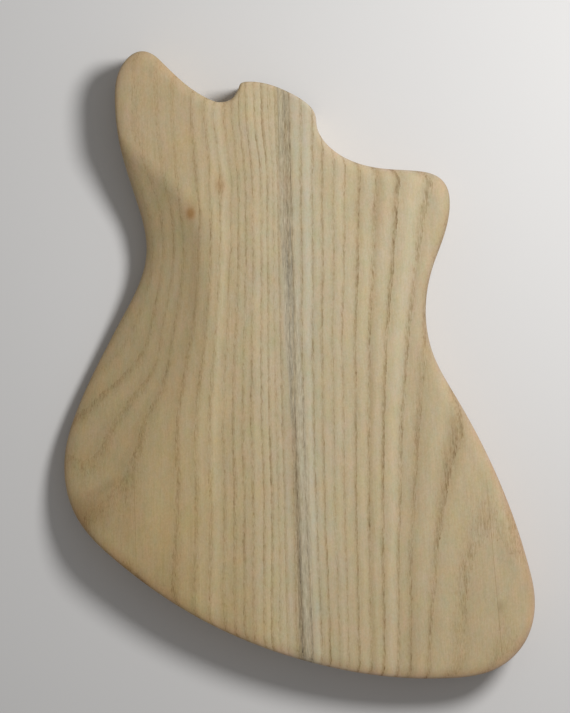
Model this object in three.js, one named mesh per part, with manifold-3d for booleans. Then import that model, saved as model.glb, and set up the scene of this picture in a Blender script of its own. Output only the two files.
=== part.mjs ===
// Electric guitar body of an offset shape: two flat-sawn boards, edge-glued along the middle.
// It lies face down, with its contoured back up (+Z) and the neck end towards +Y. Units are millimetres.
import * as THREE from 'three';
import { mergeVertices } from 'three/addons/utils/BufferGeometryUtils.js';
import Module from 'manifold-3d';

// Overall sizes
const bodyLength = 500;
const bodyWidth = 370;
const bodyThickness = 44.5;

// Edge rounding, a quarter ellipse: wide and shallow round the body, a light break round the heel
const edgeWidth = 11;
const edgeDepth = 4;
const heelEdgeWidth = 2.5;
const heelEdgeDepth = 2;

// Neck pocket, and the heel that is left round it
const neckAxisOffset = -8;
const pocketWidth = 55.6;
const pocketLength = 76;
const pocketDepth = 16;
const heelWall = 3;
const heelWidth = pocketWidth + 2 * heelWall;

// Belly cut at the waist on the long horn's side, between an inner edge along the body, a slanting upper edge
// and a slanting lower edge. Both slanting edges have a height where they meet the inner one.
const bellyInset = 66;
const bellyInnerSlope = 19.5;
const bellyInnerBlend = 12;
const bellyUpperHeight = 117;
const bellyUpperAngle = -43;
const bellyUpperSlope = 26;
const bellyUpperBlend = 5;
const bellyLowerHeight = 0;
const bellyLowerAngle = 58;
const bellyLowerSlope = 19;
const bellyLowerBlend = 20;
const bellyCornerBlend = 24;

// Routes in the face
const cutterRadius = 6.4;
const pocketCornerRadius = 8;
const pickupLength = 92;
const pickupWidth = 42;
const pickupDepth = 19;
const neckPickupGap = 9;
const bridgeDistance = 187;
const bridgePickupDistance = 40;
const controlLength = 150;
const controlWidth = 44;
const controlDepth = 34;
const controlAngle = -52;
const controlAcross = 92;
const controlAlong = -98;
const channelWidth = 20;
const channelDepth = 19;
const cutOverrun = 10;

// Fineness of the facets
const turnPerFacet = 7;
const longestFacet = 24;
const roundSteps = 6;
const fieldSteps = 12;
const seamBlend = 30;
const seamPull = 1.3;
const cornerFacets = 5;
const snapDistance = 1e-4;

// Outline, clockwise seen from the back. Each row holds the place across and along as shares, the heading in
// degrees and the share of the full edge rounding. Round the heel the share across is of the heel's width, from
// the neck's axis. Elsewhere it is of the body's width, from the seam.
const heelRightShares = [
  [0.4, 0.407, -46, 0],
  [0.4783, 0.385, -88, 0.05],
  [0.514, 0.3635, -64, 0.25],
  [0.8206, 0.3255, -30, 0.7],
];
const rightShares = [
  [0.21, 0.305, -6, 1],
  [0.284, 0.2995, -10, 1],
  [0.3285, 0.281, -56, 1],
  [0.3385, 0.247, -92, 1],
  [0.3065, 0.1635, -112.3, 1],
  [0.282, 0.079, -91, 1],
  [0.303, -0.002, -66.5, 1],
  [0.35, -0.067, -61, 1],
  [0.482, -0.307, -75.5, 1],
  [0.5, -0.381, -90, 1],
  [0.474, -0.449, -124, 1],
  [0.396, -0.492, -163, 1],
  [0.287, -0.5, -180, 1],
];
const leftShares = [
  [-0.226, -0.392, -210.5, 1],
  [-0.405, -0.293, -222, 1],
  [-0.482, -0.222, -246, 1],
  [-0.5, -0.154, -270, 1],
  [-0.473, -0.068, -292, 1],
  [-0.389, 0.055, -299, 1],
  [-0.336, 0.125, -296, 1],
  [-0.312, 0.195, -269, 1],
  [-0.3235, 0.2475, -254.3, 1],
  [-0.365, 0.368, -262, 1],
  [-0.37, 0.421, -270, 1],
  [-0.354, 0.477, -302, 1],
  [-0.31, 0.5, -360, 1],
  [-0.273, 0.486, -406, 1],
  [-0.1795, 0.426, -389, 0.7],
];
const heelLeftShares = [
  [-0.729, 0.4165, -358, 0.3],
  [-0.555, 0.427, -303, 0.1],
  [-0.492, 0.442, -288, 0],
  [-0.41, 0.4476, -357, 0],
];
const seamTopShares = [0, 0.43, -27.5, 0];
const seamBottomShares = [0, -0.4655, -197, 1];

const heelTop = heelLeftShares.at(-1)[1] * bodyLength;
const pocketEnd = heelTop - pocketLength;
const bridgeLine = pocketEnd - bridgeDistance;

const wasm = await Module();
wasm.setup();

// A station of the outline: place, heading and share of the full edge rounding
function station(unit, offset, [acrossShare, alongShare, heading, edgeShare]) {
  return {
    place: new THREE.Vector2(offset + acrossShare * unit, alongShare * bodyLength),
    heading: THREE.MathUtils.degToRad(heading),
    edgeShare,
  };
}

const bodyStation = (shares) => station(bodyWidth, 0, shares);
const heelStation = (shares) => station(heelWidth, neckAxisOffset, shares);

// Curve between two stations, as near to a circular arc as their headings allow
function spanCurve(start, end) {
  const turn = Math.atan2(Math.sin(end.heading - start.heading), Math.cos(end.heading - start.heading));
  const reach = start.place.distanceTo(end.place) / (3 * Math.cos(turn / 4) ** 2);
  const leave = new THREE.Vector2(Math.cos(start.heading), Math.sin(start.heading));
  const arrive = new THREE.Vector2(Math.cos(end.heading), Math.sin(end.heading));
  const startHandle = start.place.clone().addScaledVector(leave, reach);
  const endHandle = end.place.clone().addScaledVector(arrive, -reach);
  const curve = new THREE.CubicBezierCurve(start.place, startHandle, endHandle, end.place);
  const byTurn = Math.abs(THREE.MathUtils.radToDeg(turn)) / turnPerFacet;
  const byLength = curve.getLength() / longestFacet;
  return { curve, facets: Math.max(2, Math.ceil(byTurn), Math.ceil(byLength)) };
}

// Samples of the outline: place, unit tangent, width and depth of the edge rounding, and distance along it
function outlineSamples(stations) {
  const samples = [];
  for (let i = 0; i + 1 < stations.length; i += 1) {
    const { curve, facets } = spanCurve(stations[i], stations[i + 1]);
    const last = i + 2 === stations.length;
    for (let k = 0; k < facets + (last ? 1 : 0); k += 1) {
      const t = k / facets;
      const blend = THREE.MathUtils.smoothstep(t, 0, 1);
      const share = THREE.MathUtils.lerp(stations[i].edgeShare, stations[i + 1].edgeShare, blend);
      const width = THREE.MathUtils.lerp(heelEdgeWidth, edgeWidth, share);
      const depth = THREE.MathUtils.lerp(heelEdgeDepth, edgeDepth, share);
      samples.push({ place: curve.getPoint(t), tangent: curve.getTangent(t), width, depth, along: 0 });
    }
  }
  samples[0].place.x = 0;
  samples.at(-1).place.x = 0;
  for (let i = 1; i < samples.length; i += 1) {
    samples[i].along = samples[i - 1].along + samples[i].place.distanceTo(samples[i - 1].place);
  }
  return samples;
}

// Direction of the edge profile: square to the outline, but in the seam's plane where the outline ends there
function insetDirection(sample, samples) {
  const { tangent } = sample;
  const lean = (end) => -end.tangent.y / end.tangent.x;
  const total = samples.at(-1).along;
  const fade = (distance) => 1 - THREE.MathUtils.smoothstep(distance, 0, seamBlend);
  const slide = lean(samples[0]) * fade(sample.along)
    + lean(samples.at(-1)) * fade(total - sample.along);
  return new THREE.Vector2(tangent.y, -tangent.x).addScaledVector(tangent, slide);
}

// Nearer of two edges of the belly cut, with a rounded change from one to the other
function nearerEdge(a, b) {
  const share = THREE.MathUtils.clamp(0.5 + (b.distance - a.distance) / (2 * bellyCornerBlend), 0, 1);
  const corner = bellyCornerBlend * share * (1 - share);
  return {
    distance: THREE.MathUtils.lerp(b.distance, a.distance, share) - corner,
    blend: THREE.MathUtils.lerp(b.blend, a.blend, share),
    slope: THREE.MathUtils.lerp(b.slope, a.slope, share),
  };
}

// Zero outside, the distance itself inside, and a parabola between over the blend on each side
function softRamp(distance, blend) {
  if (distance <= -blend) return 0;
  if (distance >= blend) return distance;
  return (distance + blend) ** 2 / (4 * blend);
}

// Depth of the belly cut: it grows with the distance inside the nearest edge, by that edge's slope
function bellyDepth(x, y) {
  const across = x + bellyInset;
  const upper = THREE.MathUtils.degToRad(bellyUpperAngle);
  const lower = THREE.MathUtils.degToRad(bellyLowerAngle);
  const innerEdge = { distance: -across, blend: bellyInnerBlend, slope: bellyInnerSlope };
  const upperEdge = {
    distance: across * Math.sin(upper) - (y - bellyUpperHeight) * Math.cos(upper),
    blend: bellyUpperBlend,
    slope: bellyUpperSlope,
  };
  const lowerEdge = {
    distance: (y - bellyLowerHeight) * Math.cos(lower) - across * Math.sin(lower),
    blend: bellyLowerBlend,
    slope: bellyLowerSlope,
  };
  const { distance, blend, slope } = nearerEdge(upperEdge, nearerEdge(innerEdge, lowerEdge));
  return Math.tan(THREE.MathUtils.degToRad(slope)) * softRamp(distance, blend);
}

// One board's cross-section at an outline sample: out from the seam over the back, round both edges and
// back over the face
function crossSection(sample, direction, seamPlace) {
  const at = (inset) => sample.place.clone().addScaledVector(direction, inset);
  const onBack = (place, drop) => {
    const depth = bellyDepth(place.x, place.y);
    return new THREE.Vector3(place.x, place.y, bodyThickness - depth - drop);
  };
  const points = [];
  const inner = at(sample.width);
  for (let k = 0; k <= fieldSteps; k += 1) {
    points.push(onBack(seamPlace.clone().lerp(inner, k / fieldSteps), 0));
  }
  const rounds = Array.from({ length: roundSteps }, (_, j) => {
    const angle = ((j + 1) / roundSteps) * (Math.PI / 2);
    return { inset: sample.width * (1 - Math.sin(angle)), drop: sample.depth * (1 - Math.cos(angle)) };
  });
  rounds.forEach(({ inset, drop }) => points.push(onBack(at(inset), drop)));
  rounds.reverse().forEach(({ inset, drop }) => {
    const place = at(inset);
    points.push(new THREE.Vector3(place.x, place.y, drop));
  });
  points.push(new THREE.Vector3(inner.x, inner.y, 0), new THREE.Vector3(seamPlace.x, seamPlace.y, 0));
  return points;
}

// Closed surface through the cross-sections, with the first and last one capped in the seam's plane
function sectionsToGeometry(sections) {
  const count = sections[0].length;
  const positions = sections.flat().flatMap((point) => point.toArray());
  const index = [];
  const keep = (...corners) => {
    const spots = corners.map((corner) => sections[Math.floor(corner / count)][corner % count]);
    const distinct = spots.every((spot, i) => spot.distanceTo(spots[(i + 1) % 3]) > Number.EPSILON);
    if (distinct) index.push(...corners);
  };
  for (let i = 0; i + 1 < sections.length; i += 1) {
    for (let k = 0; k < count; k += 1) {
      const here = i * count + k;
      const next = i * count + ((k + 1) % count);
      keep(here, here + count, next);
      keep(next, here + count, next + count);
    }
  }
  const last = (sections.length - 1) * count;
  for (let k = 1; k + 1 < count; k += 1) {
    keep(0, k, k + 1);
    keep(last, last + k + 1, last + k);
  }
  const geometry = new THREE.BufferGeometry();
  geometry.setAttribute('position', new THREE.Float32BufferAttribute(positions, 3));
  geometry.setIndex(index);
  return geometry;
}

// Share of the seam at which a cross-section starts: its share of the outline, drawn towards the lower bout
// so that no cross-section runs along the edge of a horn
function seamShare(share, rising) {
  const up = rising ? share : 1 - share;
  const drawn = up - seamPull * up ** 3 * (1 - up);
  return rising ? drawn : 1 - drawn;
}

// Solid of one board before its routes
function boardBlank(stations) {
  const samples = outlineSamples(stations);
  const directions = samples.map((sample) => insetDirection(sample, samples));
  const seamEnd = (i) => samples.at(i).place.clone().addScaledVector(directions.at(i), samples.at(i).width);
  const rising = seamEnd(-1).y > seamEnd(0).y;
  const sections = samples.map((sample, i) => {
    const share = seamShare(sample.along / samples.at(-1).along, rising);
    const seamPlace = seamEnd(0).lerp(seamEnd(-1), share);
    seamPlace.x = 0;
    return crossSection(sample, directions[i], seamPlace);
  });
  [sections[0], sections.at(-1)].flat().forEach((point) => point.setX(0));
  return toSolid(sectionsToGeometry(sections));
}

// Closed three.js geometry to a solid
function toSolid(geometry) {
  const bare = geometry.clone();
  bare.deleteAttribute('normal');
  bare.deleteAttribute('uv');
  const merged = mergeVertices(bare);
  const mesh = new wasm.Mesh({
    numProp: 3,
    vertProperties: new Float32Array(merged.attributes.position.array),
    triVerts: new Uint32Array(merged.index.array),
  });
  return new wasm.Manifold(mesh);
}

// Solid back to a geometry, with the points of the seam's plane put exactly on it
function toGeometry(solid) {
  const { vertProperties, triVerts } = solid.getMesh();
  const snapped = vertProperties.map((value, i) => (i % 3 === 0 && Math.abs(value) < snapDistance ? 0 : value));
  const geometry = new THREE.BufferGeometry();
  geometry.setAttribute('position', new THREE.BufferAttribute(snapped, 3));
  geometry.setIndex(new THREE.BufferAttribute(triVerts, 1));
  geometry.computeVertexNormals();
  return geometry;
}

// Rounded rectangle about the origin, long side along Y
function roundedRectangle(width, length, radius) {
  const shape = new THREE.Shape();
  const [x, y] = [width / 2, length / 2];
  shape.absarc(x - radius, y - radius, radius, 0, Math.PI / 2);
  shape.absarc(-x + radius, y - radius, radius, Math.PI / 2, Math.PI);
  shape.absarc(-x + radius, -y + radius, radius, Math.PI, 1.5 * Math.PI);
  shape.absarc(x - radius, -y + radius, radius, 1.5 * Math.PI, 2 * Math.PI);
  return shape;
}

// A route cut into the face to a depth
function route(shape, depth, x, y, angle = 0) {
  const options = { depth: depth + cutOverrun, bevelEnabled: false, curveSegments: cornerFacets };
  const geometry = new THREE.ExtrudeGeometry(shape, options);
  geometry.rotateZ(angle);
  geometry.translate(x, y, -cutOverrun);
  return toSolid(geometry);
}

// A straight channel with round ends between two places
function channel(from, to) {
  const length = from.distanceTo(to) + channelWidth;
  const middle = from.clone().lerp(to, 0.5);
  const angle = to.clone().sub(from).angle() - Math.PI / 2;
  const shape = roundedRectangle(channelWidth, length, channelWidth / 2);
  return route(shape, channelDepth, middle.x, middle.y, angle);
}

// All routes of the face: neck pocket, two pickup cavities, control cavity and the wire channels
function faceRoutes() {
  const openLength = pocketLength + cutOverrun + pocketCornerRadius;
  const pocketShape = roundedRectangle(pocketWidth, openLength, pocketCornerRadius);
  const pickupShape = roundedRectangle(pickupLength, pickupWidth, cutterRadius);
  const controlShape = roundedRectangle(controlWidth, controlLength, controlWidth / 2);
  const neckPickup = new THREE.Vector2(neckAxisOffset, pocketEnd - neckPickupGap - pickupWidth / 2);
  const bridgePickup = new THREE.Vector2(neckAxisOffset, bridgeLine + bridgePickupDistance);
  const controls = new THREE.Vector2(controlAcross, controlAlong);
  const controlTurn = THREE.MathUtils.degToRad(controlAngle) + Math.PI / 2;
  return [
    route(pocketShape, pocketDepth, neckAxisOffset, pocketEnd + openLength / 2),
    route(pickupShape, pickupDepth, neckPickup.x, neckPickup.y),
    route(pickupShape, pickupDepth, bridgePickup.x, bridgePickup.y),
    route(controlShape, controlDepth, controls.x, controls.y, controlTurn),
    channel(neckPickup, bridgePickup),
    channel(bridgePickup, controls),
  ];
}

// A finished board as a named mesh
function board(name, stations, routes, color) {
  const solid = routes.reduce((blank, cut) => blank.subtract(cut), boardBlank(stations));
  const material = new THREE.MeshStandardMaterial({ color, roughness: 0.62, metalness: 0 });
  const mesh = new THREE.Mesh(toGeometry(solid), material);
  mesh.name = name;
  return mesh;
}

const seamTop = bodyStation(seamTopShares);
const seamBottom = bodyStation(seamBottomShares);
const rightStations = [seamTop, ...heelRightShares.map(heelStation), ...rightShares.map(bodyStation), seamBottom];
const leftStations = [seamBottom, ...leftShares.map(bodyStation), ...heelLeftShares.map(heelStation), seamTop];
const routes = faceRoutes();

const guitarBody = new THREE.Group();
guitarBody.add(board('left_board', leftStations, routes, 0xaa9a7a));
guitarBody.add(board('right_board', rightStations, routes, 0xb0a07f));

export default guitarBody;
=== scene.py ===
"""Looks of an offset electric guitar body: two flat-sawn ash boards, edge-glued along the middle.

It lies face down with its contoured back up (+Z) and the neck end towards +Y, as the CAD frame has it.
Lengths are in metres, apart from the wood's own patterns, which are worked out in millimetres.
"""

import math

import bmesh
import bpy
import numpy as np
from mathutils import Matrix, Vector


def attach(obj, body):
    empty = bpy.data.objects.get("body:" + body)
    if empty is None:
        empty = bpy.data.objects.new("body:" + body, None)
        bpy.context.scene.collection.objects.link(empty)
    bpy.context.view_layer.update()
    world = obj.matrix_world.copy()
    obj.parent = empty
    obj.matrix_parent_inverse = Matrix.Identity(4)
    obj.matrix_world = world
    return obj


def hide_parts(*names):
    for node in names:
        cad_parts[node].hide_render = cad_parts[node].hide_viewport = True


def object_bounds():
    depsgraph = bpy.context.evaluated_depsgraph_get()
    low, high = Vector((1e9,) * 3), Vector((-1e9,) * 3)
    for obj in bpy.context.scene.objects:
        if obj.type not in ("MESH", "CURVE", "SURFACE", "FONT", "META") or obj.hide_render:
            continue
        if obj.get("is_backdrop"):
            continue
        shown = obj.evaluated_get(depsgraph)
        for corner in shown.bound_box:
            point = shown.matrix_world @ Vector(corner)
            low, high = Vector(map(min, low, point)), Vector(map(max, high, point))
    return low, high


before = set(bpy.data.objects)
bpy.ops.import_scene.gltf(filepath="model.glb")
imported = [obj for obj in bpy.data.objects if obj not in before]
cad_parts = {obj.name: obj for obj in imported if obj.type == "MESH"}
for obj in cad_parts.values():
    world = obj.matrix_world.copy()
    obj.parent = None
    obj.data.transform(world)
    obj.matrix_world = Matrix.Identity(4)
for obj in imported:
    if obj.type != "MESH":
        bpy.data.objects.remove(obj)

bl_info = {
    "name": "Offset guitar body",
    "version": (1, 0, 0),
    "blender": (4, 5, 0),
    "location": "View3D > Sidebar > Guitar body",
    "description": "Makes the two ash boards of an offset electric guitar body, and a plain stage",
    "category": "Add Mesh",
}

LOW, HIGH = (np.array(corner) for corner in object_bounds())
MM = 0.001

# Outline, clockwise seen from the back: place across and along as shares, heading in degrees and share of
# the full edge rounding. Round the heel the share across is of the heel's width, from the neck's axis.
# Elsewhere it is of the body's width, from the seam.
SEAM_TOP = (0, 0.43, -27.5, 0)
HEEL_RIGHT = (
    (0.4, 0.407, -46, 0), (0.4783, 0.385, -88, 0.05),
    (0.514, 0.3635, -64, 0.25), (0.8206, 0.3255, -30, 0.7),
)
RIGHT_SIDE = (
    (0.21, 0.305, -6, 1), (0.284, 0.2995, -10, 1), (0.3285, 0.281, -56, 1),
    (0.3385, 0.247, -92, 1), (0.3065, 0.1635, -112.3, 1), (0.282, 0.079, -91, 1),
    (0.303, -0.002, -66.5, 1), (0.35, -0.067, -61, 1), (0.482, -0.307, -75.5, 1),
    (0.5, -0.381, -90, 1), (0.474, -0.449, -124, 1), (0.396, -0.492, -163, 1),
    (0.287, -0.5, -180, 1),
)
SEAM_BOTTOM = (0, -0.4655, -197, 1)
LEFT_SIDE = (
    (-0.226, -0.392, -210.5, 1), (-0.405, -0.293, -222, 1), (-0.482, -0.222, -246, 1),
    (-0.5, -0.154, -270, 1), (-0.473, -0.068, -292, 1), (-0.389, 0.055, -299, 1),
    (-0.336, 0.125, -296, 1), (-0.312, 0.195, -269, 1), (-0.3235, 0.2475, -254.3, 1),
    (-0.365, 0.368, -262, 1), (-0.37, 0.421, -270, 1), (-0.354, 0.477, -302, 1),
    (-0.31, 0.5, -360, 1), (-0.273, 0.486, -406, 1), (-0.1795, 0.426, -389, 0.7),
)
HEEL_LEFT = (
    (-0.729, 0.4165, -358, 0.3), (-0.555, 0.427, -303, 0.1),
    (-0.492, 0.442, -288, 0), (-0.41, 0.4476, -357, 0),
)

# Growth rings, from the pith outwards: where a ring starts in millimetres, and how bright its pore line,
# its early wood and its late wood are beside the board's mean
RIGHT_RINGS = (
    (80.0, 0.96, 1.05, 1.01), (88.4, 0.92, 1.1, 1.03), (96.4, 0.83, 1.12, 0.96),
    (107.4, 0.83, 1.04, 1.03), (114.0, 0.88, 1.21, 1.03), (122.3, 0.78, 1.12, 0.91),
    (130.0, 0.83, 1.12, 1.02), (137.5, 0.77, 1.06, 1.05), (144.6, 0.89, 1.12, 1.04),
    (150.3, 0.92, 1.07, 1.04), (156.7, 0.81, 1.08, 1.05), (162.4, 0.89, 1.21, 1.06),
    (168.9, 0.88, 1.1, 1.00),
)
LEFT_RINGS = (
    (81.6, 0.94, 1.02, 1.00), (88.7, 0.82, 1.06, 1.00), (95.3, 0.86, 1.05, 0.98),
    (101.9, 0.82, 1.06, 0.98), (111.8, 0.81, 1.07, 1.00), (119.1, 0.85, 1.12, 1.05),
    (124.6, 0.92, 1.18, 1.02), (130.6, 0.88, 1.02, 0.99), (135.3, 0.81, 1.03, 1.01),
    (139.9, 0.83, 1.06, 1.00), (144.4, 0.87, 1.09, 1.11), (149.8, 0.88, 1.14, 1.15),
    (154.1, 0.84, 1.14, 1.11), (158.0, 0.96, 1.11, 1.12), (161.6, 0.88, 1.04, 0.96),
    (167.7, 0.8, 0.95, 0.9),
)

# Pith lines in millimetres: place across, lean across, depth under the face, and lean down
RIGHT_PITH = (142.7, -0.0654, 55.9, 0.0863)
LEFT_PITH = (-150.1, 0.0015, 37.7, 0.0)

# Pin knots of the left board in millimetres on the back, and the sizes of a knot's heart, halo and swirl
LOWER_KNOT = (-79.2, 121.2)
UPPER_KNOT = (-55.4, 142.0)
HEART, HALO, SWIRL = (5.4, 7), (10, 14), (13, 24)

# Spots on the back in millimetres: centre and size, each across and along, and strength. Shifts push the
# grain sideways and swells change the ring radius, in millimetres. Dusk darkens, and reds tint like a knot.
RIGHT_SHIFTS = ((112, -150, 48, 100, -1.7), (65, 85, 45, 70, 0.7))
RIGHT_SWELLS = ((132, -245, 30, 110, 3.0), (106, -240, 17, 64, -1.3))
RIGHT_DUSK = (
    (62, 130, 24, 50, 0.1), (60, -25, 22, 45, 0.07), (20, -110, 42, 120, -0.06), (150, -136, 27, 42, -0.07),
    (157.7, -194.3, 4.5, 7.5, 0.25),
)
LEFT_SHIFTS = ((-115, -42, 50, 75, 2.6),)
LEFT_SWELLS = (
    (-184, -60, 48, 75, -8.2), (-110, 2, 26, 50, -2.8), (-93, -92, 16, 36, -0.9), (-80, 156, 22, 30, 1.2),
)
# The first two dusk spots and the last are painted shade: the lower left darker, most of all by its rim.
LEFT_DUSK = (
    (-120, -172, 60, 55, 0.14), (-132, -122, 32, 45, 0.11), (-50, -212, 34, 40, 0.07),
    (-77, 78, 15, 66, 0.07), (-98, 66, 16, 60, -0.06), (-10, -190, 24, 120, -0.08),
    (-75, 117, 4.6, 14, -0.12), (-166, -113, 24, 26, 0.17),
)
# The red spot by the lower left rim tints the painted shade there warmer.
LEFT_REDS = (
    (*LOWER_KNOT, *HEART, 0.8), (*LOWER_KNOT, *HALO, 0.38), (*UPPER_KNOT, *HEART, 0.3),
    (*UPPER_KNOT, *HALO, 0.32), (-166, -113, 24, 26, 0.24), (-79, 84, 8.5, 56, 0.15),
)

# Mineral streak: pairs of a place along the body and a value there. The values are the wash's edge from the
# seam, its share and its darkness, then the core's reach from the seam and its darkness.
LEFT_STREAK = (
    ((-235, 2.4), (-200, 2.4), (-60, 3.2), (0, 6), (30, 8), (60, 6.8), (90, 8.7), (150, 8.6), (220, 8.8)),
    ((-235, 0.2), (-60, 0.3), (-30, 0.6), (0, 0.75), (60, 0.9), (100, 0.6), (140, 0.25), (220, 0.6)),
    ((-235, 0.02), (-60, 0.03), (30, 0.0), (60, 0.05), (90, 0.13), (160, 0.1), (220, 0.09)),
    ((-235, 1.9), (-180, 2.2), (-60, 2.4), (0, 1.6), (60, 1.3), (130, 1.7), (220, 2.2)),
    ((-235, 0.26), (-180, 0.3), (-60, 0.3), (-30, 0.2), (30, 0.14), (60, 0.03), (130, 0.02), (220, 0.06)),
)
RIGHT_STREAK = (
    ((-235, 10), (-100, 10), (-60, 9), (-30, 7), (0, 5), (60, 3.5), (130, 2.2), (220, 1)),
    ((-235, 0.55), (-150, 0.5), (-60, 0.5), (60, 0.4), (130, 0.3), (220, 0.2)),
    ((-235, 0.1), (-200, 0.03), (220, 0.0)),
    ((-235, 4.6), (-190, 2.8), (-150, 2.6), (-110, 3.3), (-60, 2), (0, 1.8), (60, 2.2), (130, 2), (220, 1)),
    ((-235, 0.22), (-150, 0.24), (-90, 0.26), (-40, 0.07), (0, 0.15), (60, 0.2), (130, 0.16), (220, 0.12)),
)

# Brightness and warmth across the back, as pairs of a place and a value there. The brightness is painted
# light and shade. The warmth is the wood's own, cooler along the streak, and on the left partly painted warm
# bounce light where the belly cut and the lower left lie in shade.
SIDE_LIGHT = (
    (-185, 0.9), (-100, 0.9), (-75, 0.93), (-60, 0.985), (-45, 1), (60, 1), (80, 0.965), (95, 0.925),
    (150, 0.93), (185, 0.96),
)
SIDE_WARMTH_AND_BOUNCE = (
    (-185, 0.5), (-140, 0.5), (-90, 0.6), (-60, 0.3), (-30, 0.0), (-12, -0.2), (-7, -0.7), (-3, -0.4),
    (0, -0.2), (4, -1.3), (8, -0.6), (12, -1.2), (20, -0.4), (60, -0.1), (90, -0.3), (140, -0.2),
    (185, -0.3),
)

# Noises: turns per millimetre across and along the grain, octaves and roughness
DASHES = (1.0, 0.16, 2.0, 0.6)
PORES = (1.3, 0.2, 2.0, 0.6)
FIBRES = (0.55, 0.018, 2.0, 0.55)
WAXING = (0.12, 0.02, 1.0, 0.5)
FLECKS = (0.75, 0.045, 3.0, 0.65)
THREADS = (1.3, 0.12, 2.0, 0.6)

# Sums of noises, each with its strength first: how far the rings and the streak stray in millimetres, and
# how much the brightness of the wood varies
RING_WANDER = ((2.6, 0.02, 0.006, 1.0, 0.5), (0.9, 0.12, 0.045, 1.0, 0.5), (0.95, 0.55, 0.25, 1.0, 0.5))
STREAK_WANDER = ((2.0, 0.3, 0.04, 2.0, 0.55),)
TINTS = ((0.15, 0.8, 0.04, 2.0, 0.6), (0.24, 0.8, 0.6, 1.0, 0.55), (0.2, 0.08, 0.03, 3.0, 0.7))

# How the rows of the rings are kept in the colours of a ramp, each from zero to one
TONE_LOW, TONE_SPAN, WIDTH_SPAN = 0.7, 0.6, 20.0

# Belly cut: the angles of its slanting edges on the back and the slopes into the wood, half the length over
# which the cut starts, and the place along the body where the upper edge crosses the inner one
UPPER_SLANT, UPPER_SLOPE, UPPER_BLEND, UPPER_PLACE = math.radians(-43), math.radians(26), 0.005, 0.117
LOWER_SLANT, LOWER_SLOPE, LOWER_BLEND = math.radians(58), math.radians(19), 0.02
INNER_BLEND = 0.012

# Rise of the growth rings as a share of the belly cut's depth, along the body
RISE_PLACES, RISE_SHARES = (-0.075, 0.02, 0.07, 0.18), (1, 0.35, 0.15, 0.5)

# Routes: the neck's axis beside the seam, and sizes and places in the face
NECK_AXIS = -8 * MM
POCKET_OVERRUN, POCKET_CORNER = 0.018, 0.008
PICKUP_SPAN, PICKUP_WIDTH, PICKUP_CORNER, PICKUP_GAP = 0.092, 0.042, 0.0064, 0.009
BRIDGE_DISTANCE, BRIDGE_TO_PICKUP = 0.187, 0.04
CONTROL_WIDTH, CONTROL_SPAN, CONTROL_TURN = 0.044, 0.15, math.radians(-52)
CONTROL_PLACE = (0.092, -0.098)
CHANNEL_WIDTH = 0.02
CUTTER_START = -0.01
END_STRAIGHT = 1e-5

# Cutting: points round a corner, the fewest faces a cut board has, how far a normal may lean from upright
# or level, and how far a route's faces lie from the face, the seam and the outline
CORNER_POINTS, FEWEST_FACES, LEAN = 13, 1000, 0.02
FACE_CLEAR, SEAM_CLEAR, OUTLINE_CLEAR = 0.001, 1e-5, 0.0012

# Points measured at once
BATCH = 2000

# Surface: points over the back, round the edge, down the side and over the face, how far from the seam the
# edge turns into its plane, how far sections are drawn along it, and what counts as one point or no edge
BACK_POINTS, EDGE_POINTS, SIDE_POINTS, FACE_POINTS = 41, 11, 6, 21
SEAM_TURN, SEAM_DRAW = 0.03, 1.3
SAME_POINT, NO_EDGE = 2e-6, 1e-7

# Stage: half the floor's side, the key lamp's place, the middle, height and width of what the camera sees,
# its turn, and its sensor in millimetres
FLOOR_REACH = 3.0
KEY_PLACE = (0.57, 0.4, 0.89)
VIEW_MIDDLE, VIEW_HEIGHT, VIEW_WIDTH = (-7.45 * MM, 6.69 * MM), 0.036, 0.56327
VIEW_TURN, SENSOR_WIDTH = math.radians(-1.346), 36


def number(name, description, default, **limits):
    """A number from zero up for the panel."""
    return bpy.props.FloatProperty(name=name, description=description, default=default, min=0, **limits)


def length(name, description, default):
    """A length in metres for the panel."""
    return number(name, description, default, unit="LENGTH", precision=4)


def colour(name, description, default):
    """A linear colour for the panel."""
    return bpy.props.FloatVectorProperty(
        name=name, description=description, default=default, subtype="COLOR", size=3, min=0, max=1
    )


class BodySizes(bpy.types.PropertyGroup):
    """Sizes of the body, its edges, its belly cut and its routes."""

    width: length("Width", "Across both boards", float(HIGH[0] - LOW[0]))
    body_length: length("Length", "From the horn's tip to the lower bout", float(HIGH[1] - LOW[1]))
    thickness: length("Thickness", "From the face to the back", float(HIGH[2] - LOW[2]))
    edge_width: length("Edge width", "Of the edge's quarter ellipse, across the back", 0.011)
    edge_depth: length("Edge depth", "Of the edge's quarter ellipse, down the side", 0.004)
    heel_edge_width: length("Heel edge width", "Of the light break round the heel", 0.0025)
    heel_edge_depth: length("Heel edge depth", "Of the light break round the heel", 0.002)
    pocket_width: length("Neck pocket width", "Across the neck pocket", 0.0556)
    pocket_length: length("Neck pocket length", "From the heel's top to the pocket's end", 0.076)
    pocket_depth: length("Neck pocket depth", "Below the face", 0.016)
    heel_wall: length("Heel wall", "Wood left beside the neck pocket", 0.003)
    belly_inset: length("Belly cut inset", "From the seam to where the belly cut starts", 0.066)
    belly_corner: length("Belly cut corner", "Over which one edge of the cut goes into another", 0.024)
    belly_slope: number(
        "Belly cut slope", "From its inner edge", math.radians(19.5), max=math.radians(45), subtype="ANGLE"
    )
    pickup_depth: length("Pickup route depth", "Below the face", 0.019)
    control_depth: length("Control route depth", "Below the face", 0.034)
    surface_spacing: length("Surface spacing", "Between the points of the surface round the outline", 0.0011)


class WoodColours(bpy.types.PropertyGroup):
    """Colours of the bare ash."""

    ash: colour("Ash", "Mean colour of the sanded wood", (0.479, 0.384, 0.232))
    heart_streak: colour("Streak", "Grey mineral streak along the seam", (0.425, 0.368, 0.26))
    knot: colour("Pin knot", "Heart of a pin knot", (0.385, 0.22, 0.086))
    routed: colour("Routed wood", "Tint of the floors and walls of the routes", (0.36, 0.27, 0.16))
    roughness: number("Roughness", "Of the sanded surface", 0.62, max=1, subtype="FACTOR")


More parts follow.
